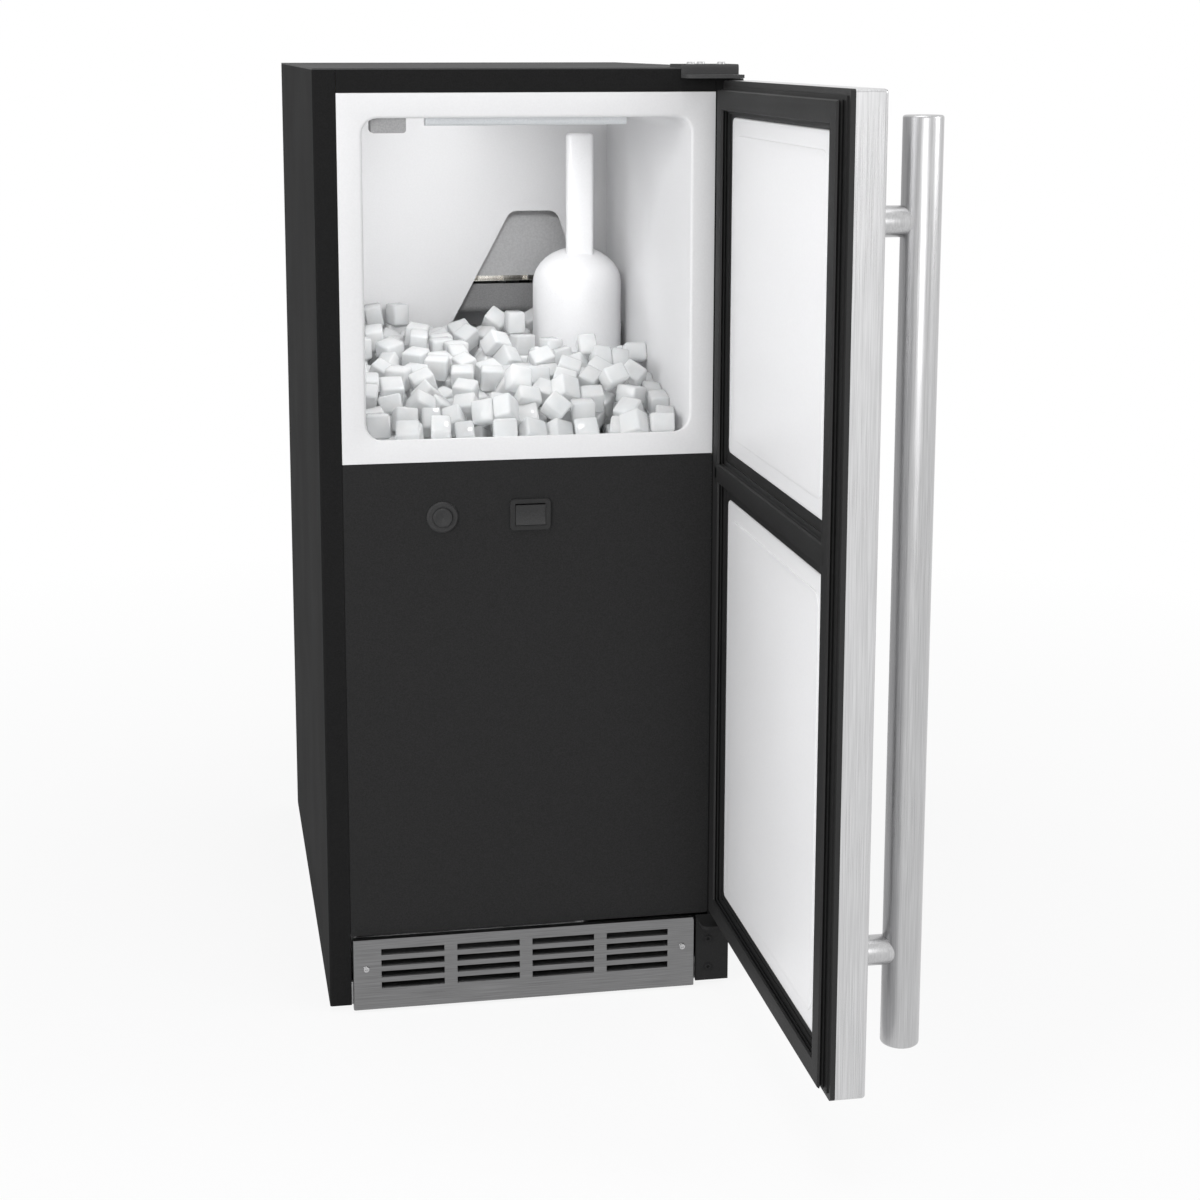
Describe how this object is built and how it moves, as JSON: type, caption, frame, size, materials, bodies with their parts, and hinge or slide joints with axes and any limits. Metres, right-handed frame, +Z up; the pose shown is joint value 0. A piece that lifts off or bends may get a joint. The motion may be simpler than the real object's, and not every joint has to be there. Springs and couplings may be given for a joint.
{
  "type": "clear ice machine",
  "caption": "Undercounter clear ice machine: black cabinet, white ice bin above a service panel, stainless toe grille, and a right-hinged gasketed door with a round bar handle.",
  "frame": {"origin": "bottom centre of the box round the machine as it stands, with its door open", "axes": "+Z up, +Y to the back of the cabinet, +X to the right as seen from the front"},
  "size_m": [0.451, 0.9804, 0.87],
  "materials": {
    "black_steel": "textured black powder coat",
    "grey_steel": "grey powder coat",
    "galvanised": "galvanised sheet",
    "stainless": "vertical brushed grain",
    "white_liner": "moulded white, satin",
    "white_scoop": "moulded white",
    "clear_plastic": "frosted",
    "black_plastic": "moulded black",
    "control_plastic": "light grey",
    "seal_rubber": "soft black",
    "hose": "translucent hose",
    "foam": "foamed in place",
    "ice": "wet clear ice",
    "plated_metal": "nickel plate",
    "copper": "drawn copper tube",
    "condenser_aluminium": "brazed fins",
    "black_enamel": "gloss black enamel",
    "motor_steel": "zinc plate",
    "fitting_plastic": "grey fittings",
    "leg_plastic": "black glide on a steel stem"
  },
  "bodies": {
    "cabinet": {"back_panel": "galvanised", "base_pan": "galvanised", "bin_light": "clear_plastic", "bin_liner": "white_liner", "bin_probe": "fitting_plastic", "bottom_hinge_bracket": "black_steel", "button_bezel": "control_plastic", "circulation_pump": "black_plastic", "compressor": "black_enamel", "compressor_mounts": "seal_rubber", "condenser_fins": "condenser_aluminium", "condenser_tubes": "condenser_aluminium", "control_box": "black_plastic", "cord_bush": "black_plastic", "door_sensor": "black_plastic", "drain_fitting": "fitting_plastic", "evaporator_coil": "copper", "evaporator_cover": "white_liner", "evaporator_grid": "plated_metal", "fan_bracket": "galvanised", "fan_motor": "motor_steel", "fan_shroud": "black_plastic", "filter_drier": "copper", "front_panel": "black_steel", "hinge_pins": "motor_steel", "ice_maker_cheeks": "white_liner", "ice_pile": "ice", "insulation": "foam", "left_side_panel": "black_steel", "refrigerant_lines": "copper", "right_side_panel": "black_steel", "rocker_bezel": "black_plastic", "terminal_cover": "black_plastic", "toe_grille": "stainless", "top_hinge_bracket": "grey_steel", "top_panel": "grey_steel", "top_rail": "black_steel", "water_distributor": "black_plastic", "water_trough": "white_liner", "water_tubes": "hose", "water_valve": "fitting_plastic"},
    "door": {"door_skin": "stainless", "door_core": "foam", "door_frame": "black_plastic", "upper_door_panel": "white_liner", "lower_door_panel": "white_liner", "door_gasket": "seal_rubber", "handle_bar": "stainless", "handle_caps": "stainless", "handle_posts": "stainless", "door_bushes": "black_plastic"},
    "rocker": {"mode_rocker": "control_plastic"},
    "button": {"push_button": "control_plastic"},
    "fan": {"fan_blade": "black_plastic"},
    "curtain": {"water_curtain": "clear_plastic"},
    "scoop": {"ice_scoop": "white_scoop"},
    "leg_front_left": {"leg_front_left": "leg_plastic"},
    "leg_front_right": {"leg_front_right": "leg_plastic"},
    "leg_rear_left": {"leg_rear_left": "leg_plastic"},
    "leg_rear_right": {"leg_rear_right": "leg_plastic"}
  },
  "joints": [
    {"name": "door_hinge", "type": "hinge", "parent": "cabinet", "child": "door", "pos_m": [0.1475, -0.11725, 0.4655], "axis": [0, 0, 1], "range_deg": [-90, 25]},
    {"name": "rocker_pivot", "type": "hinge", "parent": "cabinet", "child": "rocker", "pos_m": [-0.036, -0.09375, 0.4667], "axis": [1, 0, 0], "range_deg": [-8, 8]},
    {"name": "button_press", "type": "slide", "parent": "cabinet", "child": "button", "axis": [0, 1, 0], "range_m": [0, 0.0025], "stiffness_N_per_m": 600},
    {"name": "fan_spin", "type": "hinge", "parent": "cabinet", "child": "fan", "pos_m": [-0.091, -0.01045, 0.138], "axis": [0, 1, 0], "continuous": true},
    {"name": "curtain_swing", "type": "hinge", "parent": "cabinet", "child": "curtain", "pos_m": [-0.036, 0.33025, 0.8057], "axis": [-1, 0, 0], "range_deg": [0, 8]},
    {"name": "scoop_raise", "type": "slide", "parent": "cabinet", "child": "scoop", "axis": [0, 0, 1], "range_m": [0, 0.02]},
    {"name": "leg_front_left_turn", "type": "hinge", "parent": "cabinet", "child": "leg_front_left", "pos_m": [-0.1935, -0.06575, 0.02], "axis": [0, 0, 1], "continuous": true},
    {"name": "leg_front_right_turn", "type": "hinge", "parent": "cabinet", "child": "leg_front_right", "pos_m": [0.1215, -0.06575, 0.02], "axis": [0, 0, 1], "continuous": true},
    {"name": "leg_rear_left_turn", "type": "hinge", "parent": "cabinet", "child": "leg_rear_left", "pos_m": [-0.1935, 0.43905, 0.02], "axis": [0, 0, 1], "continuous": true},
    {"name": "leg_rear_right_turn", "type": "hinge", "parent": "cabinet", "child": "leg_rear_right", "pos_m": [0.1215, 0.43905, 0.02], "axis": [0, 0, 1], "continuous": true}
  ]
}
